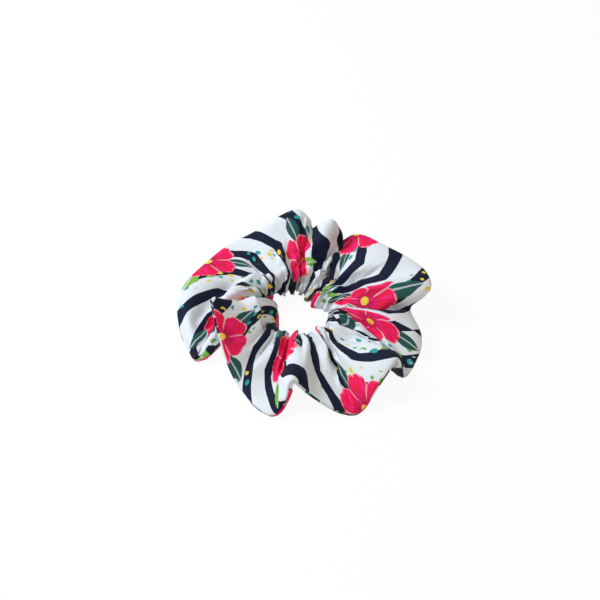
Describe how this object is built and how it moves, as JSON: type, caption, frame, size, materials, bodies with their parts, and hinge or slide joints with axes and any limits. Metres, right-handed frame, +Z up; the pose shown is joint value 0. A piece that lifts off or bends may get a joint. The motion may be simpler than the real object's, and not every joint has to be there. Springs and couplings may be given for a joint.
{
  "type": "scrunchie",
  "caption": "Gathered jersey scrunchie: a ruffled printed cloth tube, closed into a ring round a flat sewn elastic loop that stretches to hold hair.",
  "frame": {"origin": "on the axis of the elastic loop, at the surface that the scrunchie lies on", "axes": "+Z up along the axis of the loop, through the hole that the hair goes through; -Y towards the viewer of the picture"},
  "size_m": [0.107, 0.1009, 0.0266],
  "materials": {
    "jersey": "matte",
    "thread": "satin",
    "elastic": "matte"
  },
  "bodies": {
    "cover": {"fabric_cover": "jersey", "long_seam_needle_thread": "thread", "long_seam_bobbin_thread": "thread", "end_seam_needle_thread": "thread", "end_seam_bobbin_thread": "thread", "closing_thread": "thread"},
    "elastic": {"elastic_band": "elastic", "lap_needle_thread": "thread", "lap_bobbin_thread": "thread"}
  },
  "joints": [
    {"name": "elastic_turn", "type": "hinge", "parent": "cover", "child": "elastic", "pos_m": [0, 0, 0], "axis": [0, 0, 1], "continuous": true}
  ]
}
